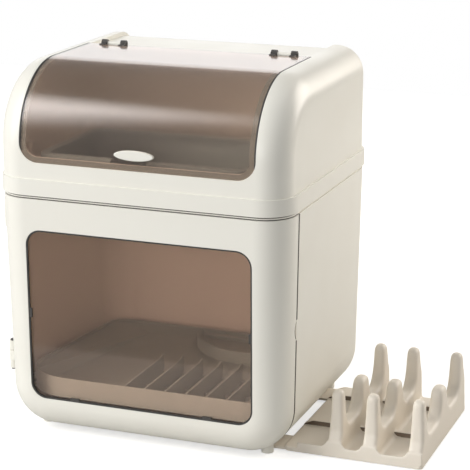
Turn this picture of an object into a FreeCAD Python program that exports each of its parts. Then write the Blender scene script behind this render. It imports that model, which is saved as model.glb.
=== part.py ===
import FreeCAD, Part
import math
import os

from FreeCAD import Placement, Rotation, Vector

# Dish storage box: a lower cabinet with a hinged door, an upper storey with a flip-up lid and a pot-lid rack
# that slides out on the right. All sizes are millimetres. The origin is on the floor under the middle of the
# cabinet, +X is to the right along the front, the front faces -Y and +Z is up.

# Cabinet
body_width = 446.0
body_depth = 396.0
body_rim = 362.0
body_floor = 7.0
body_wall = 2.5
side_draft = 0.9
bottom_radius = 66.0
corner_radius = 46.0

# Door and its window. The margins run from the cabinet's side, floor and rim to the window's edge.
door_depth = 56.5
door_gap = 1.2
door_top_gap = 0.6
window_side_margin = 49.0
window_low_margin = 51.0
window_high_margin = 46.0
window_radius = 24.0
pane_thickness = 2.5
pane_overlap = 5.0
pane_seat = 0.5
gasket_lip = 2.5
gasket_flange = 1.0
gasket_inset = 0.8
clip_length = 14.0
clip_height = 5.5
clip_inset = 70.0
clip_rise = 131.0
notch_rise = 134.0
notch_chord = 28.0
notch_depth = 6.0

# Door hinges. Each one's middle is given above the cabinet's floor or below its rim.
hinge_out = 6.5
hinge_radius = 5.8
hinge_length = 43.0
hinge_rise = 95.0
hinge_drop = 38.0
hinge_arm = 10.0
pin_radius = 2.5
pin_head_radius = 4.2
pin_head_height = 2.0
running_gap = 0.05
knuckle_gap = 0.4

# Catch
catch_drop = 117.0
catch_length = 30.0
magnet_width = 8.0
magnet_depth = 9.0
strike_thickness = 1.0
lug_margin = 1.0
lug_depth = 7.5
catch_gap = 0.8

# Feet, in from the cabinet's sides, behind the door and in from its back
foot_radius = 9.0
foot_side_inset = 47.0
foot_front_inset = 6.5
foot_rear_inset = 46.0

# Upper storey
band_rise = 29.0
band_height = 24.0
band_outset = 2.5
band_wall = 2.5
strip_inset = 2.0
seat_width = 11.0
strip_width = 3.0
floor_thickness = 2.5
cover_side_inset = 2.0
cover_back_inset = 3.0
cover_height = 159.0
cover_wall = 2.5
roll_radius = 113.0
back_radius = 44.0
cheek_radius = 41.0
screw_radius = 2.0
screw_head_radius = 4.0
screw_head_height = 2.5
screw_bite = 14.0
pilot_spare = 2.0
hole_gap = 0.2
boss_radius = 6.5
boss_height = 30.0
boss_bite = 0.8
boss_gap = 0.3
body_boss_front = 22.0
body_boss_rear = 70.0
drain_radius = 4.0
drain_pitch = 40.0

# Lid, in from the cover's sides, up from the band and back from the front
lid_side_inset = 42.0
lid_rise = 24.5
lid_run = 235.0
lid_thickness = 2.5
lid_radius = 28.0
lid_gap = 0.4
rebate_depth = 3.0
ledge_width = 8.0
edging_width = 2.0
recess_depth = 6.0
recess_inset = 4.0
recess_drop = 50.0
handle_length = 60.0
handle_height = 14.5
handle_rise = 22.5
handle_proud = 4.0
handle_round = 1.2

# Lid hinges. The axis stands behind the lid's edge and above its face.
axis_back = 2.5
axis_rise = 1.5
ear_inset = 42.5
ear_spread = 15.5
ear_width = 8.5
ear_radius = 5.0
ear_tab = 10.0
ear_notch_gap = 1.0
barrel_radius = 2.3
barrel_gap = 0.3
lid_pin_radius = 1.2
lid_pin_head = 1.1

# Trays in the lower storey
tray_side_gap = 23.0
tray_front_gap = 20.0
tray_rear_gap = 30.0
tray_rise = 53.0
tray_height = 28.0
tray_rear_height = 8.0
tray_fall = 60.0
tray_wall = 2.2
tray_left_radius = 70.0
tray_right_radius = 44.0
tray_rear_radius = 24.0
ramp_front = 8.0
ramp_rear = 80.0
ramp_drop = 2.0
rail_width = 14.0
rail_height = 6.0
rail_lip = 3.0
rail_run = 10.0
rail_gap = 1.0
fin_count = 7
fin_pitch = 32.0
fin_side = 40.0
fin_thickness = 2.6
fin_height = 31.0
fin_length = 146.0
fin_gap = 1.5
fin_droop = 4.0
bar_width = 6.0
bar_height = 4.0
cradle_side = 132.0
cradle_rear = 14.0
cradle_radius = 110.0
cradle_wall = 3.0
cradle_height = 20.0
cradle_gap = 1.0
rung_width = 8.0
rung_height = 6.0

# Trays in the upper storey
upper_side_gap = 59.0
upper_front_gap = 20.0
upper_rear_gap = 11.0
upper_rise = 33.0
upper_lip = 10.0
upper_wall = 2.2
upper_radius = 20.0
finger_width = 56.0
finger_left = 46.0
finger_depth = 12.0
slot_count = 3
slot_length = 24.0
slot_width = 4.0
slot_row = 55.0
slat_count = 6
slat_pitch = 27.0
slat_length = 84.0
slat_height = 22.0
slat_round = 6.0
slat_inset = 6.0
slat_start = 14.0

# Pot-lid rack. Its plan is given in from the cabinet's side, front and back.
rack_tuck = 26.0
rack_length = 207.0
rack_front_inset = 73.0
rack_rear_inset = 67.0
rack_base = 1.0
rack_floor = 8.0
rack_wall = 2.5
rack_radius = 6.0
rack_lip_height = 8.5
rack_lip_start = 20.0
rack_travel = 25.0
tongue_low = 2.0
tongue_width = 47.0
tongue_seat = 60.0
tongue_front_inset = 24.5
tongue_rear_inset = 21.0
tongue_start = 45.0
tongue_radius = 4.0
tongue_screw_radius = 1.5
tongue_screw_head = 3.2
guide_length = 135.5
guide_foot_gap = 1.5
guide_wall = 7.0
guide_gap = 0.4
guide_lip = 6.0
guide_lip_height = 0.9
guide_screw_radius = 1.4
guide_screw_inset = 12.0
guide_rise = 30.0
peg_radius = 3.0
peg_start = 20.0
peg_clear = 0.5
divider_steps = (76.0, 128.0, 195.5)
divider_half_base = 11.5
divider_half_top = 8.3
divider_round = 6.0
prong_height = 90.5
hump_height = 73.5
valley_height = 30.0
tip_radius = 10.0
front_tip_inset = 20.0
rear_tip_inset = 22.0
hump_shift = 3.0
hump_half = 15.0
toe_height = 14.0
heel_height = 45.0
toe_lean = 1.5
prong_flare = 4.5
hump_flare = 7.5
toe_round = 12.0
valley_round = 24.0
heel_round = 40.0
rib_front_inset = 92.5
rib_rear_inset = 46.5
rib_height = 7.0
rib_toe = 1.4
rib_taper = 13.5
rib_start = 1.0
rib_stop = 4.0
rib_width = 8.0
grip_thickness = 1.2
rack_foot_radius = 5.0
rack_foot_inset = 14.0
rack_foot_gap = 0.2

# Utensil cup on the left wall
cup_front = 10.0
cup_length = 130.0
cup_depth = 60.0
cup_drop = 137.0
cup_height = 130.0
cup_wall = 2.2
cup_radius = 14.0
cup_gap = 0.3
cup_drain_radius = 3.0
hanger_standoff = 3.6
hanger_thickness = 2.0
hanger_height = 22.0
hanger_rise = 75.0
hanger_inset = 10.0
hanger_block = 10.0
hook_thickness = 1.8
hook_inset = 32.0
hook_drop = 18.0

# How far a cutting shape stands past the piece it cuts
over = 5.0

big = 900.0
nodes = {}


def box(x0, x1, y0, y1, z0, z1):
    return Part.makeBox(x1 - x0, y1 - y0, z1 - z0, Vector(x0, y0, z0))


def rod(radius, start, axis, length):
    return Part.makeCylinder(radius, length, Vector(*start), Vector(*axis))


def outline(corners, plane, level):
    """Closed wire through (u, v, radius) corners, each rounded by its own radius."""
    place = {"xy": lambda u, v: Vector(u, v, level),
             "xz": lambda u, v: Vector(u, level, v),
             "yz": lambda u, v: Vector(level, u, v)}[plane]
    stations = []
    count = len(corners)
    for i, (u, v, radius) in enumerate(corners):
        here = Vector(u, v, 0)
        before = Vector(*corners[i - 1][:2], 0)
        after = Vector(*corners[(i + 1) % count][:2], 0)
        if radius <= 0:
            stations.append((here, None, here))
            continue
        to_before = (before - here).normalize()
        to_after = (after - here).normalize()
        half = to_before.getAngle(to_after) / 2
        reach = radius / math.tan(half)
        bisector = (to_before + to_after).normalize()
        middle = here + bisector * (radius / math.sin(half) - radius)
        stations.append((here + to_before * reach, middle, here + to_after * reach))
    edges = []
    for i, (start, middle, end) in enumerate(stations):
        if middle is not None:
            edges.append(Part.Arc(place(start.x, start.y), place(middle.x, middle.y), place(end.x, end.y)).toShape())
        following = stations[(i + 1) % count][0]
        if end.distanceToPoint(following) > 1e-6:
            edges.append(Part.makeLine(place(end.x, end.y), place(following.x, following.y)))
    return Part.Wire(edges)


def prism(corners, plane, low, high):
    """Solid between two levels of one plane, with rounded corners."""
    normal = {"xy": Vector(0, 0, 1), "xz": Vector(0, 1, 0), "yz": Vector(1, 0, 0)}[plane]
    return Part.Face(outline(corners, plane, low)).extrude(normal * (high - low))


def rounded_rectangle(u0, u1, v0, v1, radius):
    return [(u0, v0, radius), (u1, v0, radius), (u1, v1, radius), (u0, v1, radius)]


def fillet_where(solid, radius, test):
    edges = [edge for edge in solid.Edges if test(edge)]
    return solid.makeFillet(radius, edges)


def ends(edge):
    return [vertex.Point for vertex in edge.Vertexes]


def add(name, shape):
    nodes[name] = shape.removeSplitter()


def group(name, solids):
    nodes[name] = Part.makeCompound(solids)


# Places that follow from the sizes above
front = -body_depth / 2
draft = math.tan(math.radians(side_draft))
split = front + door_depth
door_top = body_rim - door_top_gap
bottom_flat = body_width / 2 - (body_rim - body_floor) * draft - bottom_radius
window_half_width = body_width / 2 - window_side_margin
window_low = body_floor + window_low_margin
window_high = body_rim - window_high_margin
hinge_levels = {"lower": body_floor + hinge_rise, "upper": body_rim - hinge_drop}
catch_low = body_rim - catch_drop - catch_length / 2
foot_x = body_width / 2 - foot_side_inset
foot_front_y = split + foot_front_inset
foot_rear_y = -front - foot_rear_inset

band_top = body_rim + band_rise
band_bottom = band_top - band_height
base_floor = band_bottom + floor_thickness
cover_half_width = body_width / 2 - cover_side_inset
cover_top = band_top + cover_height
lid_half_width = cover_half_width - lid_side_inset
lid_low = band_top + lid_rise
lid_rear = front + lid_run
recess_half_width = lid_half_width - recess_inset
recess_front = lid_rear - recess_inset
recess_low = cover_top - recess_drop
lid_axis_y = lid_rear + axis_back
lid_axis_z = cover_top + axis_rise
lid_hinge_x = lid_half_width - ear_inset

tray_half_width = body_width / 2 - tray_side_gap
tray_front = front + tray_front_gap
tray_rear = -front - tray_rear_gap
tray_floor = body_floor + tray_rise
tray_rim = tray_floor + tray_height
fin_first = tray_half_width - fin_side - (fin_count - 1) * fin_pitch
fin_top = tray_floor + fin_height
cradle_x = tray_half_width - cradle_side
cradle_y = tray_rear - cradle_rear
upper_half_width = cover_half_width - upper_side_gap
upper_front = front + upper_front_gap
upper_rear = recess_front - upper_rear_gap
upper_rim = band_top + upper_rise

rack_left = body_width / 2 - rack_tuck
rack_right = rack_left + rack_length
rack_front = front + rack_front_inset
rack_rear = -front - rack_rear_inset
rack_lip = rack_floor + rack_lip_height
tongue_places = {"front": rack_front + tongue_front_inset, "rear": rack_rear - tongue_rear_inset}
guide_outer = foot_x - foot_radius - guide_foot_gap
guide_inner = guide_outer - guide_length
tongue_inner = guide_inner + tongue_start
peg_x = tongue_inner + peg_start
rib_places = {"front": rack_front + rib_front_inset, "rear": rack_rear - rib_rear_inset}
cup_low = body_rim - cup_drop
hanger_low = cup_low + hanger_rise


def lower_half(size, inset, z):
    """Half a plan size of the drafted cabinet at a height."""
    return size / 2 - inset - (body_rim - z) * draft


def lower_block(inset, top):
    """The cabinet's drafted block before its edges are rounded."""
    low = body_floor + inset
    x0, y0 = lower_half(body_width, inset, low), lower_half(body_depth, inset, low)
    x1, y1 = lower_half(body_width, inset, top), lower_half(body_depth, inset, top)
    solid = Part.makeWedge(-x0, low, -y0, -y1, -x1, x0, top, y0, y1, x1)
    solid.rotate(Vector(), Vector(1, 0, 0), 90)
    return solid


def lower_form(inset, top):
    """Outside of the lower cabinet moved in by inset: drafted sides, rounded corners and bottom."""
    low = body_floor + inset

    def bottom_side(edge):
        points = ends(edge)
        return all(abs(p.z - low) < 1e-4 for p in points) and abs(points[0].x - points[1].x) < 1e-4

    def end_loop(edge):
        points = ends(edge)
        on_end = all(abs(abs(p.y) - lower_half(body_depth, inset, p.z)) < 1e-3 for p in points)
        same_end = len({p.y > 0 for p in points}) == 1
        return on_end and same_end and not all(abs(p.z - top) < 1e-4 for p in points)

    solid = fillet_where(lower_block(inset, top), bottom_radius - inset, bottom_side)
    return fillet_where(solid, corner_radius - inset, end_loop)


def cover_form(inset, low):
    """Outside of the upper cover moved in by inset: rolled front, flat top, rounded back and cheeks."""
    x = cover_half_width - inset
    y0 = front + inset
    y1 = -front - cover_back_inset - inset
    top = cover_top - inset
    corners = [(y0, low, 0), (y1, low, 0), (y1, top, back_radius - inset), (y0, top, roll_radius - inset)]
    solid = prism(corners, "yz", -x, x)

    def cheek(edge):
        points = ends(edge)
        on_side = all(abs(abs(p.x) - x) < 1e-4 for p in points) and len({p.x > 0 for p in points}) == 1
        return on_side and not all(abs(p.z - low) < 1e-4 for p in points)

    return fillet_where(solid, cheek_radius - inset, cheek)


def lean(shape):
    """Lean an upright piece of the door back to the drafted front face."""
    pivot = Vector(0, front, body_rim)
    return shape.copy().transformed(Placement(Vector(), Rotation(Vector(1, 0, 0), side_draft), pivot).toMatrix())


outer = lower_form(0, body_rim)


def screw_places():
    """Where the upper base is screwed down onto the cabinet's bosses."""
    x = body_width / 2 - body_wall - boss_radius + boss_bite
    return [(side * x, y) for side in (-1, 1) for y in (split + body_boss_front, -front - body_boss_rear)]


def make_lower_body():
    inner = lower_form(body_wall, body_rim + over)
    shell = outer.cut(inner).common(box(-big, big, split + door_gap / 2, big, 0, big))
    low = body_rim - boss_height
    bosses = [rod(boss_radius, (x, y, low), (0, 0, 1), boss_height) for x, y in screw_places()]
    pilots = [rod(screw_radius, (x, y, low + over), (0, 0, 1), boss_height) for x, y in screw_places()]
    for y in tongue_places.values():
        pilots += [rod(guide_screw_radius, (x, side, 0), (0, 0, 1), tray_rise) for x, side in guide_screw_places(y)]
    add("lower_body", shell.fuse(bosses).common(outer).cut(pilots))


def make_feet():
    places = [(-foot_x, foot_front_y), (foot_x, foot_front_y), (-foot_x, foot_rear_y), (foot_x, foot_rear_y)]
    under_door = lower_form(-door_gap, body_rim).common(box(-big, big, -big, split + door_gap / 2, 0, big))
    for number, (x, y) in enumerate(places, 1):
        post = rod(foot_radius, (x, y, 0), (0, 0, 1), bottom_radius).cut([outer, under_door])
        add(f"foot_{number}", min(post.Solids, key=lambda solid: solid.CenterOfMass.z))


def window_shape(grow, y0, y1):
    """Block of the window's outline, grown all round, between two depths."""
    corners = rounded_rectangle(-window_half_width - grow, window_half_width + grow,
                                window_low - grow, window_high + grow, window_radius + grow)
    return prism(corners, "xz", y0, y1)


def clip_places():
    """Middle of each clip and whether it lies along the bottom edge."""
    across = window_half_width - clip_inset
    sides = [(side * (window_half_width - clip_height / 2), window_low + clip_rise, False) for side in (-1, 1)]
    bottom = [(side * across, window_low + clip_height / 2, True) for side in (-1, 1)]
    return sides + bottom


def make_door():
    solid = lower_form(0, door_top).cut(lower_form(body_wall, door_top - body_wall))
    frame = solid.common(box(-big, big, -big, split - door_gap / 2, 0, big))
    seat = front + body_wall - pane_seat
    pane_front = seat + gasket_flange
    pane_back = pane_front + pane_thickness
    frame = frame.cut(lean(window_shape(0, front - over, front + door_depth / 2)))
    frame = frame.cut(lean(window_shape(pane_overlap, seat, pane_back + pane_seat)))
    notch_radius = (notch_chord ** 2 / 4 + notch_depth ** 2) / (2 * notch_depth)
    notch_middle = (body_width / 4, split + notch_radius - notch_depth, window_low + notch_rise)
    frame = frame.cut(rod(notch_radius, notch_middle, (1, 0, 0), body_width / 2))
    inner_x = body_width / 2 - (body_rim - catch_low) * draft - body_wall
    plate_x = inner_x - magnet_width - lug_margin
    catch_high = catch_low + catch_length
    strike_back = split - door_gap / 2
    strike_front = strike_back - strike_thickness
    lug = box(plate_x - lug_margin, body_width, strike_front - lug_depth, strike_front,
              catch_low - lug_margin, catch_high + lug_margin).common(lower_form(body_wall / 2, door_top))
    add("door_frame", frame.fuse(lug))
    add("door_strike", box(plate_x, plate_x + magnet_width, strike_front, strike_back, catch_low, catch_high))
    magnet_y = strike_back + catch_gap
    magnet = box(plate_x, body_width, magnet_y, magnet_y + magnet_depth, catch_low, catch_high)
    add("door_magnet", magnet.common(lower_form(body_wall, body_rim)))

    clips = []
    for x, z, flat in clip_places():
        width, height = (clip_length, clip_height) if flat else (clip_height, clip_length)
        clips.append(lean(box(x - width / 2, x + width / 2, front + gasket_inset, pane_front,
                              z - height / 2, z + height / 2)))
    clear = window_shape(-gasket_lip, front - over, pane_back)
    lip = window_shape(0, front + gasket_inset, seat).cut(clear)
    flange = window_shape(pane_overlap, seat, pane_front).cut(clear)
    add("window_gasket", lean(lip.fuse(flange)).cut(clips))
    add("door_window", lean(window_shape(pane_overlap, pane_front, pane_back)))
    group("window_clips", clips)


def make_door_hinges():
    x, y = -body_width / 2 - hinge_out, split
    third = hinge_length / 3
    reach = x + hinge_out + corner_radius / 2
    side = lower_block(0, body_rim)
    for level, middle in hinge_levels.items():
        low = middle - hinge_length / 2
        high = low + hinge_length
        full = hinge_length + 2 * over
        fixed = []
        for start, stop in ((low, low + third - knuckle_gap), (high - third + knuckle_gap, high)):
            knuckle = rod(hinge_radius, (x, y, start), (0, 0, 1), stop - start)
            fixed.append(knuckle.fuse(box(x, reach, y + door_gap, y + hinge_arm, start, stop)))
        plate = box(x + hinge_radius - knuckle_gap, reach, y + door_gap, y + hinge_arm, low, high)
        room = rod(hinge_radius + knuckle_gap, (x, y, low + third - knuckle_gap), (0, 0, 1),
                   third + 2 * knuckle_gap)
        leaf = plate.cut(room).fuse(fixed).cut(side)
        add(f"body_leaf_{level}", leaf.cut(rod(pin_radius, (x, y, low - over), (0, 0, 1), full)))

        start, stop = low + third, high - third
        knuckle = rod(hinge_radius, (x, y, start), (0, 0, 1), stop - start)
        arm = box(x, reach, y - hinge_arm, y - door_gap / 2, start, stop)
        swing = knuckle.fuse(arm).cut(side)
        add(f"door_leaf_{level}", swing.cut(rod(pin_radius + running_gap, (x, y, low - over), (0, 0, 1), full)))

        shank = rod(pin_radius, (x, y, low), (0, 0, 1), hinge_length)
        heads = [rod(pin_head_radius, (x, y, z), (0, 0, 1), pin_head_height) for z in (low - pin_head_height, high)]
        add(f"door_pin_{level}", shank.fuse(heads))


def rim_block(outset, z0, z1):
    """Rounded block of the cabinet's plan, moved out by outset."""
    x, y = body_width / 2 + outset, body_depth / 2 + outset
    return prism(rounded_rectangle(-x, x, -y, y, corner_radius + outset), "xy", z0, z1)


def cover_screw_places():
    x = cover_half_width - cover_wall - boss_radius + boss_bite
    return [(side * x, y) for side in (-1, 1) for y in (front / 2, -front / 2)]


def make_upper_base():
    inner = strip_inset + strip_width
    strip = rim_block(-strip_inset, body_rim, band_bottom).cut(rim_block(-inner, body_rim - over, band_bottom))
    plate = rim_block(band_outset, band_bottom, base_floor)
    wall = rim_block(band_outset, base_floor, band_top - band_wall)
    wall = wall.cut(rim_block(band_outset - band_wall, base_floor, band_top))
    seat = rim_block(band_outset, band_top - band_wall, band_top)
    seat = seat.cut(rim_block(band_outset - seat_width, band_bottom, band_top + over))
    pads = [rod(boss_radius, (x, y, body_rim), (0, 0, 1), band_bottom - body_rim) for x, y in screw_places()]
    base = plate.fuse([strip, wall, seat] + pads)
    below, through = body_rim - over, band_height
    holes = [rod(screw_radius + hole_gap, (x, y, below), (0, 0, 1), through)
             for x, y in screw_places() + cover_screw_places()]
    holes += [rod(boss_radius + boss_gap, (x, y, base_floor), (0, 0, 1), band_height + over)
              for x, y in cover_screw_places()]
    columns = int(upper_half_width // drain_pitch)
    rows = int((upper_rear - upper_front) / 2 // drain_pitch)
    middle = (upper_front + upper_rear) / 2
    for i in range(-columns, columns + 1):
        for j in range(-rows, rows + 1):
            place = (i * drain_pitch, middle + j * drain_pitch, below)
            holes.append(rod(drain_radius, place, (0, 0, 1), through))
    add("upper_base", base.cut(holes))


def screw(x, y, seat, down, length):
    """Screw whose head rests on the level seat; down says which way its shank goes."""
    way = -1 if down else 1
    head = rod(screw_head_radius, (x, y, seat), (0, 0, -way), screw_head_height)
    return head.fuse(rod(screw_radius, (x, y, seat), (0, 0, way), length))


def make_storey_screws():
    length = base_floor - body_rim + boss_height - over - pilot_spare
    group("body_screws", [screw(x, y, base_floor, True, length) for x, y in screw_places()])
    length = floor_thickness + screw_bite
    group("cover_screws", [screw(x, y, band_bottom, False, length) for x, y in cover_screw_places()])


def lid_block(grow, rear):
    """Block that bounds the lid seen from the front, with rounded lower corners."""
    x = lid_half_width + grow
    low = lid_low - grow
    corners = [(-x, low, lid_radius + grow), (x, low, lid_radius + grow), (x, big, 0), (-x, big, 0)]
    return prism(corners, "xz", front - over, rear)


def recess_block(grow):
    half = recess_half_width + grow
    return box(-half, half, recess_front - grow, big, recess_low - grow, big)


def make_upper_cover():
    whole = cover_form(0, band_top)
    low = band_top - over

    def skin(depth):
        return whole.cut(cover_form(depth, low))

    recess = skin(recess_depth).common(recess_block(0))
    rebate = skin(rebate_depth).common(lid_block(lid_gap, lid_rear + lid_gap))
    backing = skin(recess_depth + cover_wall).common(recess_block(cover_wall))
    ledge_room = lid_block(lid_gap + cover_wall, lid_rear + lid_gap + cover_wall)
    ledge = skin(rebate_depth + cover_wall).common(ledge_room)
    hollow = cover_form(cover_wall, low).cut([backing, ledge])
    shell = whole.cut([recess, rebate, hollow]).cut(lid_block(-ledge_width, recess_front - ledge_width))
    tall = band_top - base_floor + boss_height
    whole_below = cover_form(0, body_rim)
    bosses = [rod(boss_radius, (x, y, base_floor), (0, 0, 1), tall).common(whole_below)
              for x, y in cover_screw_places()]
    deep = floor_thickness + screw_bite + pilot_spare
    pilots = [rod(screw_radius, (x, y, band_bottom), (0, 0, 1), deep) for x, y in cover_screw_places()]
    add("upper_cover", shell.fuse(bosses).cut(pilots))


def make_lid():
    whole = cover_form(0, band_top)
    sheet = whole.cut(cover_form(lid_thickness, band_top - over)).common(lid_block(0, lid_rear))
    half = ear_spread - ear_width / 2 + ear_notch_gap
    for side in (-1, 1):
        x = side * lid_hinge_x
        sheet = sheet.cut(box(x - half, x + half, recess_front, lid_rear + over, recess_low, big))
    inner = lid_half_width - edging_width
    for name, x0, x1 in (("left", -big, -inner), ("right", inner, big)):
        add(f"lid_edging_{name}", sheet.common(box(x0, x1, -big, big, 0, big)))
    add("lid_panel", sheet.common(box(-inner, inner, -big, big, 0, big)))
    face = front - handle_proud
    level = lid_low + handle_rise
    rim = Part.Ellipse(Vector(handle_length / 2, face, level), Vector(0, face, level + handle_height / 2),
                       Vector(0, face, level))
    handle = Part.Face(Part.Wire([rim.toShape()])).extrude(Vector(0, handle_proud, 0))
    add("lid_handle", fillet_where(handle, handle_round, lambda edge: abs(ends(edge)[0].y - face) < 1e-4
                                   and abs(ends(edge)[-1].y - face) < 1e-4))


def make_lid_hinges():
    for name, side in (("left", -1), ("right", 1)):
        middle = side * lid_hinge_x
        corners = []
        for turn in range(8):
            angle = math.radians(22.5 + 45 * turn)
            reach = ear_radius / math.cos(math.radians(22.5))
            corners.append((lid_axis_y + reach * math.cos(angle), lid_axis_z + reach * math.sin(angle), 0))
        ears = []
        for shift in (-ear_spread, ear_spread):
            x = middle + shift - ear_width / 2
            tab = box(x, x + ear_width, lid_rear - ear_tab, lid_axis_y, cover_top, lid_axis_z)
            ears.append(prism(corners, "yz", x, x + ear_width).fuse(tab))
        sheet_space = box(-big, big, -big, lid_rear, cover_top - lid_thickness, cover_top)
        outer_x = ear_spread + ear_width / 2
        full = 2 * (outer_x + over)
        bore = rod(lid_pin_radius + running_gap, (middle - full / 2, lid_axis_y, lid_axis_z), (1, 0, 0), full)
        group(f"lid_ears_{name}", [ear.cut(sheet_space).cut(bore) for ear in ears])
        half = ear_spread - ear_width / 2 - barrel_gap
        barrel = rod(barrel_radius, (middle - half, lid_axis_y, lid_axis_z), (1, 0, 0), 2 * half)
        lug = box(middle - half, middle + half, lid_axis_y - barrel_radius, lid_axis_y + barrel_radius,
                  cover_top - recess_depth, lid_axis_z)
        tight = rod(lid_pin_radius, (middle - full / 2, lid_axis_y, lid_axis_z), (1, 0, 0), full)
        add(f"cover_knuckle_{name}", barrel.fuse(lug).cut(tight))
        shank = outer_x + barrel_gap
        pin = rod(lid_pin_radius, (middle - shank, lid_axis_y, lid_axis_z), (1, 0, 0), 2 * shank)
        heads = [rod(lid_pin_radius + lid_pin_head, (middle + at, lid_axis_y, lid_axis_z), (1, 0, 0), lid_pin_head)
                 for at in (-shank - lid_pin_head, shank)]
        add(f"lid_pin_{name}", pin.fuse(heads))


def make_tray_rails():
    top = tray_floor - tray_wall
    reach = body_width / 2
    for name, side in (("left", -1), ("right", 1)):
        x0, x1 = sorted((side * (tray_half_width - rail_width), side * reach))
        rail = box(x0, x1, split + door_gap, tray_rear + rail_run, top - rail_height, top)
        x0, x1 = sorted((side * (tray_half_width + rail_gap), side * reach))
        lip = box(x0, x1, split + door_gap, tray_rear + rail_run, top, top + rail_lip)
        add(f"tray_rail_{name}", rail.fuse(lip).common(lower_form(body_wall, body_rim)))


def tray_plan(inset):
    """Drip tray's plan moved in by inset, with wider corners at the front."""
    x, y0, y1 = tray_half_width - inset, tray_front + inset, tray_rear - inset
    narrow = tray_rear_radius - inset
    return [(-x, y0, tray_left_radius - inset), (x, y0, tray_right_radius - inset), (x, y1, narrow), (-x, y1, narrow)]


def faceted(corners, faces):
    """Solid with flat faces, each face given by the numbers of its corners."""
    loops = [Part.makePolygon([corners[i] for i in face + face[:1]]) for face in faces]
    return Part.makeSolid(Part.makeShell([Part.Face(loop) for loop in loops]))


def make_drip_tray():
    """Tray whose rim falls to the back, with a ramp that widens along its left side and one along its back."""
    low = tray_floor - tray_wall
    left, back = -tray_half_width + tray_wall / 2, tray_rear - tray_wall / 2
    fore, rear_rim = tray_front + tray_wall / 2, tray_floor + tray_rear_height
    body = prism(tray_plan(0), "xy", low, tray_rim)
    hollow = prism(tray_plan(tray_wall), "xy", tray_floor, tray_rim + over)
    side_ramp = faceted(
        [Vector(left, fore, low), Vector(left, back, low), Vector(left + ramp_rear, back, low),
         Vector(left + ramp_front, fore, low), Vector(left, fore, tray_rim - ramp_drop),
         Vector(left, back, rear_rim - ramp_drop)],
        [[0, 1, 2, 3], [0, 1, 5, 4], [0, 3, 4], [1, 2, 5], [4, 5, 2], [4, 2, 3]])
    back_ramp = prism([(back, low, 0), (back - ramp_rear / 2, low, 0), (back, rear_rim - ramp_drop, 0)], "yz",
                      left, cradle_x - cradle_radius - tray_wall)
    ramps = side_ramp.fuse(back_ramp).common(prism(tray_plan(tray_wall / 2), "xy", low, tray_rim))
    fall = prism([(tray_front + tray_fall, tray_rim, 0), (tray_rear + over, rear_rim, 0),
                  (tray_rear + over, tray_rim + over, 0), (tray_front + tray_fall, tray_rim + over, 0)], "yz",
                 -big, big)
    add("drip_tray", body.cut(hollow).fuse(ramps).cut(fall))


def make_plate_rack():
    start = tray_front + tray_wall + fin_gap
    back = start + fin_length
    half = fin_thickness / 2
    pieces = []
    for index in range(fin_count):
        x = fin_first + index * fin_pitch
        corners = [(start, tray_floor, 0), (back, tray_floor, 0), (back, fin_top, 2),
                   (back - fin_length / 10, fin_top - fin_droop, 12), (start, fin_top - fin_droop, 3)]
        pieces.append(prism(corners, "yz", x - half, x + half))
    right = fin_first + (fin_count - 1) * fin_pitch + half
    for y in (start, (start + back) / 2, back - bar_width):
        pieces.append(box(fin_first - half, right, y, y + bar_width, tray_floor, tray_floor + bar_height))
    add("plate_rack", pieces[0].fuse(pieces[1:]))


def make_bowl_cradle():
    top = tray_floor + cradle_height
    left = cradle_x - cradle_radius
    room = box(left + rung_height, tray_half_width - tray_wall - cradle_gap, cradle_y - cradle_radius - over,
               tray_rear - tray_wall - cradle_gap, tray_floor, top)
    ring = rod(cradle_radius, (cradle_x, cradle_y, tray_floor), (0, 0, 1), cradle_height)
    ring = ring.cut(rod(cradle_radius - cradle_wall, (cradle_x, cradle_y, body_floor), (0, 0, 1), tray_rim))
    high = tray_floor + rung_height
    rung = box(cradle_x - rung_width / 2, cradle_x + rung_width / 2, cradle_y - cradle_radius + cradle_wall / 2,
               cradle_y, tray_floor, high)
    bar = box(left + cradle_wall / 2, cradle_x + cradle_radius, cradle_y - rung_width, cradle_y, tray_floor, high)
    add("bowl_cradle", ring.fuse([rung, bar]).common(room))


def upper_plan(inset, round_by):
    return rounded_rectangle(-upper_half_width + inset, upper_half_width - inset, upper_front + inset,
                             upper_rear - inset, round_by)


def make_upper_tray():
    """Tray with a rim turned inwards, a finger gap in its front rim and drain slots in its floor."""
    wall, low = upper_wall, base_floor
    body = prism(upper_plan(0, upper_radius), "xy", low, upper_rim)
    hollow = prism(upper_plan(wall, upper_radius - wall), "xy", low + wall, upper_rim + over)
    rim = prism(upper_plan(wall / 2, upper_radius - wall / 2), "xy", upper_rim - wall, upper_rim)
    rim = rim.cut(prism(upper_plan(wall + upper_lip, upper_radius - upper_lip), "xy", low, upper_rim + over))
    finger = box(-finger_left, -finger_left + finger_width, upper_front - over, upper_front + wall + upper_lip + over,
                 upper_rim - finger_depth, upper_rim + over)
    middle = (upper_front + upper_rear) / 2
    drains = []
    for i in range(-slot_count, slot_count + 1):
        for j in range(-1, 2):
            x, y = i * drain_pitch, middle + j * slot_row
            drains.append(box(x - slot_length / 2, x + slot_length / 2, y - slot_width / 2, y + slot_width / 2,
                              low - over, low + over))
    add("upper_tray", body.cut(hollow).fuse(rim).cut(finger).cut(drains))


def make_cup_rack():
    right = upper_half_width - upper_wall - upper_lip - slat_inset
    left = right - slat_length
    floor = base_floor + upper_wall
    top = floor + slat_height
    first = upper_front + upper_wall + slat_start
    pieces = []
    for index in range(slat_count):
        y = first + index * slat_pitch
        pieces.append(prism([(left, floor, 0), (right, floor, 0), (right, top, slat_round), (left, top, slat_round)],
                            "xz", y, y + fin_thickness))
    last = first + (slat_count - 1) * slat_pitch + fin_thickness
    for x in (left + bar_width, right - 2 * bar_width):
        pieces.append(box(x, x + bar_width, first, last, floor, floor + bar_height))
    add("cup_rack", pieces[0].fuse(pieces[1:]))


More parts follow.
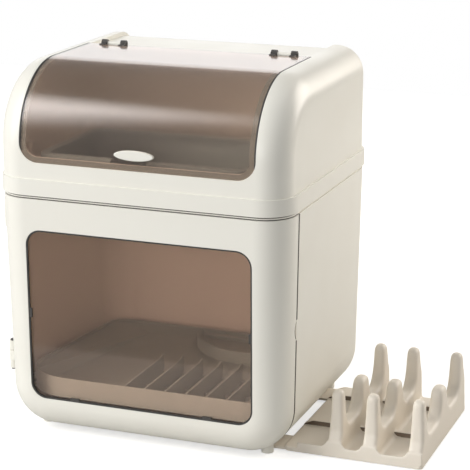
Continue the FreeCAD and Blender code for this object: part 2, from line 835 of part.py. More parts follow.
def make_rack_tongues():
    top = rack_floor - rack_wall
    half = tongue_width / 2
    slot_half = peg_radius + guide_gap
    for name, y in tongue_places.items():
        bar = prism(rounded_rectangle(tongue_inner, rack_left + tongue_seat, y - half, y + half, tongue_radius), "xy",
                    tongue_low, top)
        slot = prism(rounded_rectangle(peg_x - slot_half, peg_x + rack_travel + slot_half, y - slot_half,
                                       y + slot_half, slot_half * 0.99), "xy", 0, rack_floor)
        add(f"rack_tongue_{name}", bar.cut(slot).cut(tongue_screws(y)))


def tongue_screws(y):
    """Two flat-headed screws that hold one tongue to the rack's floor."""
    screws = []
    for x in (rack_left + tongue_seat / 3, rack_left + tongue_seat * 0.8):
        head = rod(tongue_screw_head, (x, y, tongue_low), (0, 0, 1), rack_wall / 2)
        shank = rod(tongue_screw_radius, (x, y, tongue_low), (0, 0, 1), rack_floor - tongue_low - rack_wall / 4)
        screws.append(head.fuse(shank))
    return screws


def guide_screw_places(y):
    edge = tongue_width / 2 + guide_gap + guide_wall / 2
    columns = (guide_inner + guide_screw_inset, bottom_flat - guide_screw_inset)
    return [(x, y + side * edge) for x in columns for side in (-1, 1)]


def peg_shape(y):
    """Stop peg that hangs from a guide's web into the tongue's slot."""
    low = tongue_low + peg_clear
    return rod(peg_radius, (peg_x, y, low), (0, 0, 1), body_floor - low)


def make_guide_fixings():
    screws = []
    low = tongue_low - guide_gap - guide_lip_height
    for y in tongue_places.values():
        for x, side in guide_screw_places(y):
            head = rod(guide_screw_radius * 2, (x, side, low - peg_clear), (0, 0, 1), peg_clear)
            shank = rod(guide_screw_radius, (x, side, low), (0, 0, 1), body_floor + body_wall - low - peg_clear)
            screws.append(head.fuse(shank))
    group("guide_screws", screws)
    group("rack_stop_pegs", [peg_shape(y) for y in tongue_places.values()])


def make_rack_guides():
    low = tongue_low - guide_gap - guide_lip_height
    web = rack_floor - rack_wall + guide_gap
    past = guide_outer + over
    for name, y in tongue_places.items():
        half = tongue_width / 2 + guide_gap
        y0, y1 = y - half - guide_wall, y + half + guide_wall
        guide = box(guide_inner, guide_outer, y0, y1, low, body_floor)
        guide = guide.cut(box(guide_inner - over, past, y - half, y + half, tongue_low - guide_gap, web))
        guide = guide.cut(box(guide_inner - over, past, y - half + guide_lip, y + half - guide_lip, 0, web))
        rise = box(bottom_flat - guide_rise, guide_outer, y0, y1, body_floor, bottom_radius).cut(outer)
        guide = guide.fuse(rise.common(box(0, guide_outer, -big, big, 0, body_floor + over)))
        holes = [rod(guide_screw_radius, (x, side, 0), (0, 0, 1), bottom_radius) for x, side in guide_screw_places(y)]
        add(f"rack_guide_{name}", guide.cut(holes + [peg_shape(y)]))


def rib_side():
    """Outline of a rib in the XZ plane, low at its left end so that it clears the cabinet's curved bottom."""
    left, right, floor = rack_left + rib_start, rack_right - rib_stop, rack_floor
    return [(left, floor, 0), (right, floor, 0), (right, floor + rib_height, 1.5),
            (left + rib_taper, floor + rib_height, 8), (left, floor + rib_toe, 0)]


def make_rack_tray():
    """Rack floor with a front lip, a rib for the front grip and a raised stage with the rear one."""
    plan = rounded_rectangle(rack_left, rack_right, rack_front, rack_rear, rack_radius)
    t = rack_wall
    under = box(rack_left + t, rack_right - t, rack_front + t, rack_rear - t, 0, rack_floor - t)
    tray = prism(plan, "xy", rack_base, rack_floor).cut(under)
    lip = box(rack_left + rack_lip_start, rack_right, rack_front, rack_front + t, rack_floor, rack_lip)
    lip = lip.common(prism(plan, "xy", 0, rack_lip))
    front_rib = prism(rib_side(), "xz", rib_places["front"], rib_places["front"] + rib_width)
    stage = prism(rib_side(), "xz", rib_places["rear"], rack_rear - rack_radius)
    tray = tray.fuse([lip, front_rib, stage])
    for y in tongue_places.values():
        half = tongue_width / 2
        tray = tray.cut(box(rack_left - over, rack_left + tongue_seat, y - half, y + half, 0, rack_floor - t))
        tray = tray.cut(tongue_screws(y))
    return tray


def crown():
    """Outline of a divider in the YZ plane: front prong, valley, hump, valley, rear prong."""
    z = rack_floor
    low = z + valley_height
    high = z + prong_height
    hump = z + hump_height
    half = tip_radius
    round_tip = tip_radius * 0.96
    front_tip = rack_front + front_tip_inset
    rear_tip = rack_rear - rear_tip_inset
    middle = (front_tip + rear_tip) / 2 + hump_shift
    foot, heel = rack_front + rib_start, rack_rear - rib_start
    return [
        (foot, z, 0), (foot, z + toe_height, 0), (front_tip - half - toe_lean, low, toe_round),
        (front_tip - half, high, round_tip), (front_tip + half, high, round_tip),
        (front_tip + half + prong_flare, low, valley_round), (middle - hump_half - hump_flare, low, valley_round),
        (middle - hump_half, hump, toe_round), (middle + hump_half, hump, toe_round),
        (middle + hump_half + hump_flare, low, valley_round), (rear_tip - half - prong_flare, low, valley_round),
        (rear_tip - half, high, round_tip), (rear_tip + half, high, round_tip),
        (heel, z + heel_height, heel_round), (heel, z, 0),
    ]


def make_divider(x):
    """Crown-shaped divider that tapers upwards, with its edges rounded."""
    low, top = rack_floor, rack_floor + prong_height
    blank = prism(crown(), "yz", x - divider_half_base, x + divider_half_base)
    slope = prism([(x - divider_half_base, low, 0), (x + divider_half_base, low, 0),
                   (x + divider_half_top, top, 0), (x - divider_half_top, top, 0)], "xz",
                  rack_front - over, rack_rear + over)
    solid = blank.common(slope).removeSplitter()

    def rim(edge):
        points = ends(edge)
        taper = (divider_half_base - divider_half_top) / prong_height
        on_side = all(abs(abs(p.x - x) - divider_half_base + taper * (p.z - low)) < 1e-3 for p in points)
        return on_side and len({p.x > x for p in points}) == 1 and not all(abs(p.z - low) < 1e-4 for p in points)

    return fillet_where(solid, divider_round, rim)


def make_side_rack():
    tray = make_rack_tray()
    dividers = [make_divider(rack_left + step) for step in divider_steps]
    for number, divider in enumerate(dividers, 1):
        add(f"divider_{number}", divider.cut(tray))
    add("rack_tray", tray)
    return dividers


def make_rack_trim(dividers):
    for name, y in rib_places.items():
        strip = prism(rib_side(), "xz", y - grip_thickness, y)
        group(f"grip_strip_{name}", strip.cut(dividers).Solids)
    tall = rack_floor - rack_wall - rack_foot_gap
    x = rack_right - rack_foot_inset
    places = (rack_front + rack_foot_inset, rack_rear - rack_foot_inset)
    group("rack_feet", [rod(rack_foot_radius, (x, y, rack_foot_gap), (0, 0, 1), tall) for y in places])
    group("tongue_screws", [shape for y in tongue_places.values() for shape in tongue_screws(y)])


def make_cup():
    """Utensil cup with a hook that hangs over the standoff rail on the left wall."""
    wall_x = -body_width / 2
    rail_x = wall_x - hanger_standoff
    x1 = rail_x - hanger_thickness - cup_gap
    x0 = x1 - cup_depth
    y0, y1 = cup_front, cup_front + cup_length
    t = cup_wall
    cup_high = cup_low + cup_height
    cup = prism(rounded_rectangle(x0, x1, y0, y1, cup_radius), "xy", cup_low, cup_high)
    hollow = prism(rounded_rectangle(x0 + t, x1 - t, y0 + t, y1 - t, cup_radius - t), "xy", cup_low + t,
                   cup_high + over)
    drains = []
    for i in range(4):
        for j in range(2):
            place = (x0 + cup_depth * (j + 1) / 3, y0 + cup_length * (i + 1) / 5, cup_low - over)
            drains.append(rod(cup_drain_radius, place, (0, 0, 1), 2 * over))
    top = hanger_low + hanger_height
    hook_x0, hook_x1 = rail_x + cup_gap, rail_x + cup_gap + hook_thickness
    hook_y0, hook_y1 = y0 + hook_inset, y1 - hook_inset
    hook_z0, hook_z1 = top + cup_gap, top + cup_gap + hook_thickness
    bridge = box(x1 - t, hook_x1, hook_y0, hook_y1, hook_z0, hook_z1)
    tip = box(hook_x0, hook_x1, hook_y0, hook_y1, hook_z1 - hook_drop, hook_z1)
    add("utensil_cup", cup.cut(hollow).fuse([bridge, tip]).cut(drains))

    plate = box(rail_x - hanger_thickness, rail_x, y0 + hanger_inset, y1 - hanger_inset, hanger_low, top)
    blocks = [box(rail_x - hanger_thickness / 4, wall_x + hanger_block, y, y + hanger_block, hanger_low, top)
              for y in (y0 + hanger_inset, y1 - hanger_inset - hanger_block)]
    add("cup_hanger", plate.fuse(blocks).cut(lower_block(0, body_rim)))


def make_all():
    make_lower_body()
    make_feet()
    make_door()
    make_door_hinges()
    make_upper_base()
    make_storey_screws()
    make_upper_cover()
    make_lid()
    make_lid_hinges()
    make_tray_rails()
    make_drip_tray()
    make_plate_rack()
    make_bowl_cradle()
    make_upper_tray()
    make_cup_rack()
    make_rack_tongues()
    make_rack_guides()
    make_guide_fixings()
    dividers = make_side_rack()
    make_rack_trim(dividers)
    make_cup()


make_all()
os.makedirs("parts", exist_ok=True)
for name, shape in nodes.items():
    shape.exportStep(f"parts/{name}.step")
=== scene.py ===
import math

import bmesh
import bpy
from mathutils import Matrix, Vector


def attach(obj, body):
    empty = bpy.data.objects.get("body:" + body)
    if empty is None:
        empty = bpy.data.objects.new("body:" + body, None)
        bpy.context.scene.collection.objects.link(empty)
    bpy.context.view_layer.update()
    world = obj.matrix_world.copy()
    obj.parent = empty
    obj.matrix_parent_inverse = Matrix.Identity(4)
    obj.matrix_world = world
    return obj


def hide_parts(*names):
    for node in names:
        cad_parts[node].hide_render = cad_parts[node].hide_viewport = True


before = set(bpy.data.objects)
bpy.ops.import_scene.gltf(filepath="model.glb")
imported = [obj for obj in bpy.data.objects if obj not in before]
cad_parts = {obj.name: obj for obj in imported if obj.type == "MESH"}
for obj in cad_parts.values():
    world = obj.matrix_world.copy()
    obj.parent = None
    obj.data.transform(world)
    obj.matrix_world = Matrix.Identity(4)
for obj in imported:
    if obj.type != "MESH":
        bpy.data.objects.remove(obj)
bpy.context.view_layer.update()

# Camera. It stands about 2.7 m off, a little to the right of the box and above it, and looks through a
# long lens, so the uprights stay nearly parallel. Angles are in degrees, the lens and its sensor in
# millimetres.
camera_spot = (0.987, -2.391, 0.985)
camera_turn = 20.9
camera_dip = 15.39
camera_lens = 135.9
camera_sensor = 36.0

bpy.context.scene.view_settings.view_transform = "Standard"
camera_data = bpy.data.cameras.new("photo_camera")
camera_data.sensor_width = camera_sensor
camera_data.lens = camera_lens
camera = bpy.data.objects.new("photo_camera", camera_data)
camera.location = camera_spot
camera.rotation_euler = (math.radians(90 - camera_dip), 0, math.radians(camera_turn))
bpy.context.scene.collection.objects.link(camera)
bpy.context.scene.camera = camera

# Cabinet, door frame, upper base and cover, with the small pieces of the same plastic. All are
# injection-moulded ABS in warm cream, screwed or hinged to each other. The spark-eroded mould leaves an
# even grain that breaks up the satin gloss, so highlights are wide and have soft edges.
drift_detail = 3.0
drift_span = (0.3, 0.7)
grain_detail = 2.0
grain_height = 0.0004
gloss_spread = 0.04


def linear(code):
    """The shader's linear red, green, blue and alpha of an sRGB hex colour."""
    parts = [int(code[i:i + 2], 16) / 255 for i in (1, 3, 5)]
    return tuple(p / 12.92 if p <= 0.04045 else ((p + 0.055) / 1.055) ** 2.4 for p in parts) + (1.0,)


def place_node(tree, kind, sockets=None, **settings):
    """Adds a node with its own settings, and sets each named socket to a value or links it to an output."""
    node = tree.nodes.new(kind)
    for name, value in settings.items():
        setattr(node, name, value)
    for name, value in (sockets or {}).items():
        if isinstance(value, bpy.types.NodeSocket):
            tree.links.new(value, node.inputs[name])
        else:
            node.inputs[name].default_value = value
    return node


def grained_finish(name, colour, shade, roughness, grain_mm, mottle_mm, relief, ior=1.5, metal=0.0):
    """Two near shades that drift over mottle_mm, with a grain of grain_mm that stands out by relief."""
    # a real grain is about 0.2 mm wide and too fine to show here, so each grain_mm is drawn coarser
    material = bpy.data.materials.new(name)
    material.use_nodes = True
    tree = material.node_tree
    shader = tree.nodes["Principled BSDF"]
    shader.inputs["IOR"].default_value = ior
    shader.inputs["Metallic"].default_value = metal
    where = place_node(tree, "ShaderNodeTexCoord").outputs["Object"]
    drift = place_node(tree, "ShaderNodeTexNoise",
                       {"Vector": where, "Scale": 1000 / mottle_mm, "Detail": drift_detail}).outputs["Fac"]
    mixer = place_node(tree, "ShaderNodeMix",
                       {0: drift, 6: linear(colour), 7: linear(shade)}, data_type="RGBA")
    tree.links.new(mixer.outputs[2], shader.inputs["Base Color"])
    gloss = place_node(tree, "ShaderNodeMapRange",
                       {"Value": drift, "From Min": drift_span[0], "From Max": drift_span[1],
                        "To Min": roughness - gloss_spread, "To Max": roughness + gloss_spread})
    tree.links.new(gloss.outputs["Result"], shader.inputs["Roughness"])
    grain = place_node(tree, "ShaderNodeTexNoise",
                       {"Vector": where, "Scale": 1000 / grain_mm, "Detail": grain_detail}).outputs["Fac"]
    bump = place_node(tree, "ShaderNodeBump",
                      {"Height": grain, "Strength": relief, "Distance": grain_height})
    tree.links.new(bump.outputs["Normal"], shader.inputs["Normal"])
    return material


def dress(material, *names):
    """Gives CAD nodes a material."""
    for name in names:
        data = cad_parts[name].data
        data.materials.clear()
        data.materials.append(material)


cream_abs = grained_finish("cream_moulded_abs", "#eae8df", "#e6e3d9",
                           roughness=0.34, grain_mm=1.8, mottle_mm=90, relief=0.05)
dress(cream_abs, "lower_body", "door_frame", "upper_base", "upper_cover", "cup_hanger", "utensil_cup",
      "body_leaf_lower", "body_leaf_upper", "door_leaf_lower", "door_leaf_upper", "cover_knuckle_left",
      "cover_knuckle_right", "lid_handle", "foot_1", "foot_2", "foot_3", "foot_4")

# Window pane and lid. Both are smoked polystyrene sheet, 2.5 mm thick, the pane cut flat and the lid
# pressed over a heated form. The sheet browns what stands behind it and mirrors the lamps. Its forming
# leaves the lid a little hazy, so a lamp's mirror image is softer there than in the pane.
sheet_ior = 1.55


def smoked_sheet(name, tint, shade, roughness, clear):
    """Sheet that shows what is behind it by the share clear, in tint, and passes lamplight in shade."""
    material = bpy.data.materials.new(name)
    material.use_nodes = True
    tree = material.node_tree
    shader = tree.nodes["Principled BSDF"]
    shader.inputs["Base Color"].default_value = linear(tint)
    shader.inputs["Roughness"].default_value = roughness
    shader.inputs["IOR"].default_value = sheet_ior
    shader.inputs["Transmission Weight"].default_value = clear
    lamplight = place_node(tree, "ShaderNodeBsdfTransparent", {"Color": linear(shade)})
    rays = place_node(tree, "ShaderNodeLightPath")
    blend = place_node(tree, "ShaderNodeMixShader",
                       {0: rays.outputs["Is Shadow Ray"], 1: shader.outputs[0], 2: lamplight.outputs[0]})
    tree.links.new(blend.outputs[0], tree.nodes["Material Output"].inputs["Surface"])
    return material


flat_smoke = smoked_sheet("smoked_polystyrene_pane", "#f0d5c6", "#fbf6f2", roughness=0.05, clear=0.98)
dress(flat_smoke, "door_window")
bent_smoke = smoked_sheet("smoked_polystyrene_lid", "#d6c3b9", "#f8f3ee", roughness=0.12, clear=0.97)
dress(bent_smoke, "lid_panel")

# Gasket, lid edging and rack feet. They are moulded in black-grey thermoplastic rubber and pressed or
# clipped on. The rubber is matt and shows as a plain dark line round the window and the lid.
dark_rubber = grained_finish("dark_moulded_rubber", "#3a3936", "#32312f",
                             roughness=0.62, grain_mm=1.6, mottle_mm=30, relief=0.08)
dress(dark_rubber, "window_gasket", "lid_edging_left", "lid_edging_right", "rack_feet")

# Seals of the cabinet and the door. A dark strip with a cream bead along its middle lies round the neck
# over the door, a U-shaped trim wraps the cabinet's front edge, and a thin ring sits in the finger notch.
# They are matt extruded rubber. Their brown-black is painted shade: it draws the shadow under the band's
# lower edge, in the joint round the door and along the notch's edge, so the joints round the door show as
# dark lines.
dark_seal_shade = grained_finish("extruded_seal_painted_shade", "#3b3029", "#332a24",
                             roughness=0.6, grain_mm=1.6, mottle_mm=30, relief=0.06)
neck_half = (0.2213, 0.1960)
neck_corner = 0.0440
neck_corner_steps = 14
neck_seal_thickness = 0.0009
strip_span = (0.3617, 0.3663)
strip_proud = 0.0002
bead_span = (0.3629, 0.3648)
bead_proud = 0.0008
door_seal_front = -0.14195
door_seal_back = -0.13870
door_seal_low = 0.00665
door_seal_middle = 0.2
door_seal_high = 0.3618
door_seal_half_low = 0.21785
door_seal_half_high = 0.22335
door_seal_bend = 0.0652
door_seal_bend_steps = 18
door_seal_thickness = 0.0022
notch_span = (0.1765, 0.2075)
notch_middle = (0.2201, -0.12817, 0.192)
notch_radius = 0.0190
shade_ring_radius = 0.0006
shade_ring_steps = (96, 10)
shade_ring_end = door_seal_front - 0.0004
square_on = 0.9
tiny = 1e-6


def start_cube(name, low, high):
    """Adds a block between two corners, as the one thing selected, with its place in its mesh."""
    bpy.ops.object.select_all(action="DESELECT")
    middle = [(a + b) / 2 for a, b in zip(low, high)]
    bpy.ops.mesh.primitive_cube_add(size=1, location=middle, scale=[b - a for a, b in zip(low, high)])
    piece = bpy.context.object
    piece.name = name
    bpy.ops.object.transform_apply(location=True, rotation=True, scale=True)
    return piece


def pick(kind, test):
    """Selects what passes the test: verts by place, edges by middle and way, faces by middle and normal."""
    bpy.ops.mesh.select_mode(type={"verts": "VERT", "edges": "EDGE", "faces": "FACE"}[kind])
    bpy.ops.mesh.select_all(action="DESELECT")
    mesh = bpy.context.object.data
    edited = bmesh.from_edit_mesh(mesh)
    for item in getattr(edited, kind):
        if kind == "verts":
            item.select_set(test(item.co))
        elif kind == "edges":
            start, end = [vert.co for vert in item.verts]
            item.select_set(test((start + end) / 2, end - start))
        else:
            item.select_set(test(item.calc_center_median(), item.normal))
    bmesh.update_edit_mesh(mesh)


def pick_all():
    """Selects the whole mesh in edit mode."""
    bpy.ops.mesh.select_all(action="SELECT")


def harden(piece, kind, **settings):
    """Adds a modifier with its settings and applies it."""
    modifier = piece.modifiers.new(kind.lower(), kind)
    for name, value in settings.items():
        setattr(modifier, name, value)
    bpy.ops.object.modifier_apply(modifier=modifier.name)


def finish_piece(piece, material, body, smooth_angle=35):
    """Gives a piece its material and smooth shading, and says what it rides on."""
    piece.data.materials.clear()
    piece.data.materials.append(material)
    bpy.ops.object.shade_smooth_by_angle(angle=math.radians(smooth_angle))
    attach(piece, body)


def lay_neck_seal(name, span, proud, material):
    """A strip round the neck over the door, from one level to another, proud of the neck."""
    x, y = [half + proud for half in neck_half]
    seal = start_cube(name, (-x, -y, span[0]), (x, y, span[1]))
    bpy.ops.object.mode_set(mode="EDIT")
    pick("edges", lambda middle, way: abs(way.x) + abs(way.y) < tiny)
    bpy.ops.mesh.bevel(offset=neck_corner + proud, segments=neck_corner_steps)
    pick("faces", lambda middle, normal: abs(normal.z) > square_on)
    bpy.ops.mesh.delete(type="FACE")
    pick_all()
    bpy.ops.mesh.bisect(plane_co=(0, door_seal_front, 0), plane_no=(0, 1, 0), clear_outer=True)
    bpy.ops.object.mode_set(mode="OBJECT")
    harden(seal, "SOLIDIFY", thickness=neck_seal_thickness, offset=-1)
    finish_piece(seal, material, "cabinet")


# the dark strip is painted shade for the shadow under the band and in the gap over the door, and the cream
# bead between is the lit neck
lay_neck_seal("door_top_shade_strip", strip_span, strip_proud, dark_seal_shade)
lay_neck_seal("door_top_bead", bead_span, bead_proud, cream_abs)

# a thin dark ring in the finger notch, which is only painted shade along the notch's edge
bpy.ops.object.select_all(action="DESELECT")
bpy.ops.mesh.primitive_torus_add(location=notch_middle, rotation=(0, math.radians(90), 0),
                                 major_radius=notch_radius, minor_radius=shade_ring_radius,
                                 major_segments=shade_ring_steps[0], minor_segments=shade_ring_steps[1])
notch_shade_ring = bpy.context.object
notch_shade_ring.name = "notch_shade_ring"
bpy.ops.object.transform_apply(location=True, rotation=True, scale=True)
bpy.ops.object.mode_set(mode="EDIT")
pick_all()
bpy.ops.mesh.bisect(plane_co=(0, shade_ring_end, 0), plane_no=(0, 1, 0), clear_outer=True, use_fill=True)
bpy.ops.object.mode_set(mode="OBJECT")
finish_piece(notch_shade_ring, dark_seal_shade, "door")

# a U-shaped dark trim in the door joint, whose brown-black is painted shade for the shadow in the joint
door_shade_trim = start_cube("door_shade_trim", (-door_seal_half_low, door_seal_front, door_seal_low),
                       (door_seal_half_low, door_seal_back, door_seal_high))
bpy.ops.object.mode_set(mode="EDIT")
pick("verts", lambda place: place.z > door_seal_middle)
bpy.ops.transform.resize(value=(door_seal_half_high / door_seal_half_low, 1, 1))
pick("edges", lambda middle, way: abs(way.x) + abs(way.z) < tiny and middle.z < door_seal_middle)
bpy.ops.mesh.bevel(offset=door_seal_bend, segments=door_seal_bend_steps)
pick("faces", lambda middle, normal: abs(normal.y) > square_on or normal.z > square_on)
bpy.ops.mesh.delete(type="FACE")
for level in notch_span:
    pick_all()
    bpy.ops.mesh.bisect(plane_co=(0, 0, level), plane_no=(0, 0, 1))
pick("faces", lambda middle, normal: middle.x > 0 and notch_span[0] < middle.z < notch_span[1])
bpy.ops.mesh.delete(type="FACE")
bpy.ops.object.mode_set(mode="OBJECT")
harden(door_shade_trim, "SOLIDIFY", thickness=door_seal_thickness, offset=-1)
finish_piece(door_shade_trim, dark_seal_shade, "cabinet")

# Window clips, hinge pins and the lid's hinge ears. They are small mouldings in dark nylon. The clips and
# pins are pressed into the cream plastic, and the ears grip the lid's rear edge. Nylon comes out of the
# mould smooth, so they are dark with a soft sheen.
dark_nylon = grained_finish("dark_moulded_nylon", "#4a4744", "#3f3d3b",
                            roughness=0.42, grain_mm=1.4, mottle_mm=20, relief=0.05, ior=1.53)
dress(dark_nylon, "window_clips", "door_pin_lower", "door_pin_upper", "lid_pin_left", "lid_pin_right",
      "lid_ears_left", "lid_ears_right")

# Drip tray, upper tray, their racks and the tray rails. All lift out for washing, but for the rails. They
# are moulded in grey-green polypropylene, which is a little waxy, so its highlights are wide and dull.
grey_polypropylene = grained_finish("grey_moulded_polypropylene", "#929f9b", "#8a9793",
                                    roughness=0.46, grain_mm=2.0, mottle_mm=60, relief=0.06)
dress(grey_polypropylene, "tray_rail_left", "tray_rail_right", "drip_tray", "plate_rack", "bowl_cradle",
      "upper_tray", "cup_rack")

# Pot-lid rack with its guides and screwed-on tongues. The rack is one moulding in cream polypropylene, and
# its three crown-shaped dividers flow into the floor and the front lip with soft hollows. The plastic is
# darker and duller than the box, with a waxy sheen on the rounded tips.
cream_polypropylene = grained_finish("cream_moulded_polypropylene", "#e6ded1", "#e0d7c9",
                                     roughness=0.48, grain_mm=2.0, mottle_mm=70, relief=0.06)
dress(cream_polypropylene, "rack_guide_front", "rack_guide_rear", "rack_tray", "rack_tongue_front",
      "rack_tongue_rear", "divider_1", "divider_2", "divider_3")
divider_x = (0.273, 0.325, 0.3925)
divider_half = 0.0115
prong_shoulder = 0.060
rack_floor = 0.008
rack_front = -0.125
rack_rear = 0.131
rack_side = 0.404
lip_top = 0.0165
lip_back = -0.1225
floor_flare = 0.007
lip_flare = 0.010
flare_step = 0.0012
flare_inset = 0.004
flare_root = 0.001
flare_rise = 0.0022
flare_reach = 0.022
rack_grid = 0.0014
rack_kept_faces = 0.4
tip_rounds = 34
flare_rounds = 14
smooth_share = 0.5


def copy_nodes(name, *nodes):
    """One new piece from merged copies of CAD nodes."""
    bpy.ops.object.select_all(action="DESELECT")
    for node in nodes:
        copy = bpy.data.objects.new(name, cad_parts[node].data.copy())
        bpy.context.scene.collection.objects.link(copy)
        copy.select_set(True)
        bpy.context.view_layer.objects.active = copy
    bpy.ops.object.join()
    bpy.ops.object.mode_set(mode="EDIT")
    pick_all()
    bpy.ops.mesh.remove_doubles(threshold=tiny)
    bpy.ops.object.mode_set(mode="OBJECT")
    return bpy.context.object


def on_tip(place):
    """Whether a place is on the upper part of a prong."""
    return place.z > prong_shoulder


def on_flare(place):
    """Whether a place is above the floor, or on it and near the foot of a divider."""
    beside = min(abs(place.x - x) for x in divider_x) < flare_reach
    return place.z > rack_floor + flare_rise or (place.z > rack_floor - flare_root and beside)


pot_lid_rack = copy_nodes("pot_lid_rack", "rack_tray", "divider_1", "divider_2", "divider_3")
bpy.ops.object.mode_set(mode="EDIT")
for x in divider_x:
    for flare, base, y0, y1 in (
        (floor_flare, rack_floor, rack_front + flare_inset, rack_rear - flare_inset),
        (lip_flare, lip_top, rack_front, lip_back),
    ):
        for step in range(1, int(flare / flare_step)):
            rise = step * flare_step
            half = divider_half + flare - math.sqrt(flare ** 2 - (flare - rise) ** 2)
            x0, x1 = x - half, min(x + half, rack_side)
            z0, z1 = rack_floor - flare_root, base + rise
            bpy.ops.mesh.primitive_cube_add(size=1, location=((x0 + x1) / 2, (y0 + y1) / 2, (z0 + z1) / 2),
                                            scale=(x1 - x0, y1 - y0, z1 - z0))
bpy.ops.object.mode_set(mode="OBJECT")
harden(pot_lid_rack, "REMESH", mode="VOXEL", voxel_size=rack_grid, adaptivity=0)
for name, rounds, soft in (("tips", tip_rounds, on_tip), ("flares", flare_rounds, on_flare)):
    group = pot_lid_rack.vertex_groups.new(name=name)
    group.add([v.index for v in pot_lid_rack.data.vertices if soft(v.co)], 1.0, "REPLACE")
    harden(pot_lid_rack, "SMOOTH", factor=smooth_share, iterations=rounds, vertex_group=name)
harden(pot_lid_rack, "DECIMATE", ratio=rack_kept_faces)
finish_piece(pot_lid_rack, cream_polypropylene, "lid_rack", smooth_angle=60)
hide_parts("rack_tray", "divider_1", "divider_2", "divider_3")

# Lid seat. A grey foam tape is stuck on the cover's ledge, all round the opening, and the lid closes on
# it. The foam is dull and shows as a grey border through the edge of the lid.
grey_foam = grained_finish("grey_foam_tape", "#8c948d", "#848c85",
                           roughness=0.8, grain_mm=1.0, mottle_mm=25, relief=0.1)
seat_reach = 0.0078
seat_drop = 0.00005
seat_thickness = 0.0003
lid_foot = 0.4157
lid_back = 0.0365
leaning = 0.01
nearly_flat = math.radians(0.5)


def off_inner_skin(middle, normal):
    """Whether a face of the lid is off its inner skin, or on it below the foot or behind the hinge."""
    outward = abs(normal.x) > leaning or normal.y < -leaning or normal.z > leaning
    return outward or middle.z < lid_foot or middle.y > lid_back


lid_seat = copy_nodes("lid_seat_tape", "lid_panel")
bpy.ops.object.mode_set(mode="EDIT")
pick("faces", off_inner_skin)
bpy.ops.mesh.delete(type="FACE")
pick_all()
bpy.ops.mesh.dissolve_limited(angle_limit=nearly_flat)
pick_all()
bpy.ops.mesh.inset(thickness=seat_reach, use_boundary=True, use_even_offset=True)
bpy.ops.mesh.delete(type="FACE")
pick_all()
bpy.ops.transform.shrink_fatten(value=seat_drop)
bpy.ops.object.mode_set(mode="OBJECT")
harden(lid_seat, "SOLIDIFY", thickness=seat_thickness, offset=1)
finish_piece(lid_seat, grey_foam, "cabinet", smooth_angle=60)

# Grip strips. Two strips of soft rubber lie in the rack's floor and keep pot lids from sliding. Their
# brown-grey is painted shade for the shadow in a slot along the floor. Being matt, with nearly no sheen,
# they show as two dull bands.
# brown-grey painted shade, for the shadow in the slots along the rack's floor
grip_strip_shade = grained_finish("grip_strip_painted_shade", "#75675a", "#6a5d51",
                             roughness=0.7, grain_mm=1.8, mottle_mm=25, relief=0.1)
dress(grip_strip_shade, "grip_strip_front", "grip_strip_rear")

# Screws, stop pegs and door strike. They are turned or pressed from steel and zinc-plated, and the plating
# gives a clean grey metal with a fairly sharp gloss.
zinc_steel = grained_finish("zinc_plated_steel", "#b9b9b8", "#aeaead",
                            roughness=0.32, grain_mm=1.2, mottle_mm=15, relief=0.03, metal=1.0)
dress(zinc_steel, "body_screws", "cover_screws", "guide_screws", "rack_stop_pegs", "door_strike",
      "tongue_screws")

# Door magnet. It is a small block of bonded ferrite on the cabinet's right inner wall, behind the door's
# strike. Its pressed powder makes it a flat grey-black.
ferrite = grained_finish("bonded_ferrite", "#2d2c2d", "#262526",
                         roughness=0.55, grain_mm=1.0, mottle_mm=10, relief=0.1)
dress(ferrite, "door_magnet")

# Studio floor. A sheet of white paper that ends 0.3 m before the box, so that it isn't mirrored in the
# window. The camera sees it glow, more with distance and also through the smoked sheets, so that it is
# white all over and still takes a shadow.
floor_middle = (0, 1.04, 0)
floor_size = (30, 3.12, 1)
glow_near = 0.6
glow_far = 1.0
glow_reach = (1.0, 4.5)
paper_roughness = 0.9

bpy.ops.object.select_all(action="DESELECT")
bpy.ops.mesh.primitive_plane_add(size=1, location=floor_middle)
bpy.ops.transform.resize(value=floor_size)
bpy.ops.object.transform_apply(location=True, rotation=True, scale=True)
floor = bpy.context.object
floor.name = "studio_floor"
floor_paper = bpy.data.materials.new("white_paper_floor")
floor_paper.use_nodes = True
tree = floor_paper.node_tree
shader = tree.nodes["Principled BSDF"]
shader.inputs["Base Color"].default_value = linear("#cfcecb")
shader.inputs["Roughness"].default_value = paper_roughness
rays = place_node(tree, "ShaderNodeLightPath").outputs
seen = place_node(tree, "ShaderNodeMath", {0: rays["Is Camera Ray"], 1: rays["Is Transmission Ray"]},
                  operation="ADD", use_clamp=True)
where = place_node(tree, "ShaderNodeTexCoord").outputs["Object"]
distance = place_node(tree, "ShaderNodeVectorMath", {0: where}, operation="LENGTH")
brightness = place_node(tree, "ShaderNodeMapRange",
                        {"Value": distance.outputs["Value"], "From Min": glow_reach[0],
                         "From Max": glow_reach[1], "To Min": glow_near, "To Max": glow_far})
glow = place_node(tree, "ShaderNodeEmission",
                  {"Color": brightness.outputs["Result"], "Strength": seen.outputs[0]})
both = place_node(tree, "ShaderNodeAddShader", {0: shader.outputs[0], 1: glow.outputs[0]})
tree.links.new(both.outputs[0], tree.nodes["Material Output"].inputs["Surface"])
floor.data.materials.append(floor_paper)

# Studio air. The camera sees it as plain white, and it lights the object a third as brightly from all
# sides, which lifts the shadows and leaves the lamps to give the form.
air_on_object = 0.33
air_seen = 1.0

world = bpy.data.worlds.new("studio_world")
bpy.context.scene.world = world
world.use_nodes = True
tree = world.node_tree
air = tree.nodes["Background"]
air.inputs["Color"].default_value = linear("#ffffff")
rays = place_node(tree, "ShaderNodeLightPath").outputs
strength = place_node(tree, "ShaderNodeMapRange",
                      {"Value": rays["Is Camera Ray"], "To Min": air_on_object, "To Max": air_seen})
tree.links.new(strength.outputs["Result"], air.inputs["Strength"])

# Studio lamps. One big softbox from the front left gives the form, and smaller ones fill the window, the
# right side, the top and the back. The softbox fades towards its edges, so its mirror image has none. A row
# holds a lamp's name, place, aim, size in metres, watts and colour.
fade_span = (0.5, 0.12)
lamp_middle = 0.5


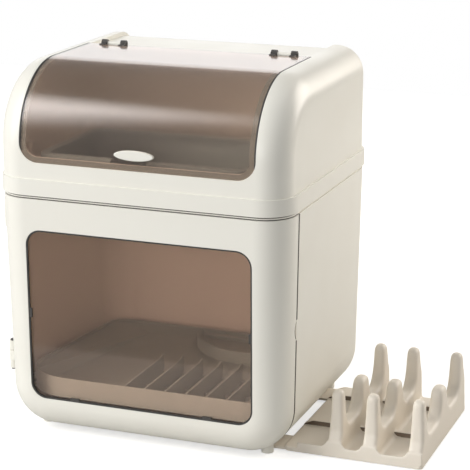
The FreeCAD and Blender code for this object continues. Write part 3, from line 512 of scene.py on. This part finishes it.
def fade_edges(lamp):
    """Makes an area lamp bright in its middle and dark at its edges."""
    lamp.use_nodes = True
    tree = lamp.node_tree
    sheet = place_node(tree, "ShaderNodeNewGeometry").outputs["Parametric"]
    across = place_node(tree, "ShaderNodeSeparateXYZ", {0: sheet})
    fades = []
    for axis in ("X", "Y"):
        centred = place_node(tree, "ShaderNodeMath", {0: across.outputs[axis], 1: lamp_middle},
                             operation="SUBTRACT")
        away = place_node(tree, "ShaderNodeMath", {0: centred.outputs[0]}, operation="ABSOLUTE")
        fade = place_node(tree, "ShaderNodeMapRange",
                          {"Value": away.outputs[0], "From Min": fade_span[0], "From Max": fade_span[1]},
                          interpolation_type="SMOOTHSTEP")
        fades.append(fade.outputs[0])
    level = place_node(tree, "ShaderNodeMath", {0: fades[0], 1: fades[1]}, operation="MULTIPLY")
    tree.links.new(level.outputs[0], tree.nodes["Emission"].inputs["Strength"])


for name, spot, aim, size, power, tint in (
    ("front", (-2.2, -2.15, 2.4), (0, 0, 0.4), (2.7, 3.4), 225, "#ffffff"),
    ("left", (-2.25, -2.0, 0.8), (0, 0, 0.3), (1.4, 1.3), 20, "#ffffff"),
    ("fill", (0.1, -3.3, 0.95), (0, 0, 0.25), (1.0, 0.9), 18, "#ffffff"),
    ("side", (1.7, 2.0, 1.3), (0, 0, 0.25), (1.6, 1.6), 52, "#fff8ef"),
    ("top", (0.7, 0.2, 2.4), (0, 0, 0.3), (1.2, 1.4), 3, "#ffffff"),
    ("back", (-1.3, 3.3, 1.55), (0, 0, 0.5), (2.8, 1.4), 17, "#ffffff"),
):
    lamp = bpy.data.lights.new(name + "_lamp", "AREA")
    lamp.shape = "RECTANGLE"
    lamp.size, lamp.size_y = size
    lamp.energy = power
    lamp.color = linear(tint)[:3]
    holder = bpy.data.objects.new(name + "_lamp", lamp)
    holder.location = spot
    holder.rotation_euler = (Vector(aim) - Vector(spot)).to_track_quat("-Z", "Y").to_euler()
    bpy.context.scene.collection.objects.link(holder)
    if name == "front":
        fade_edges(lamp)
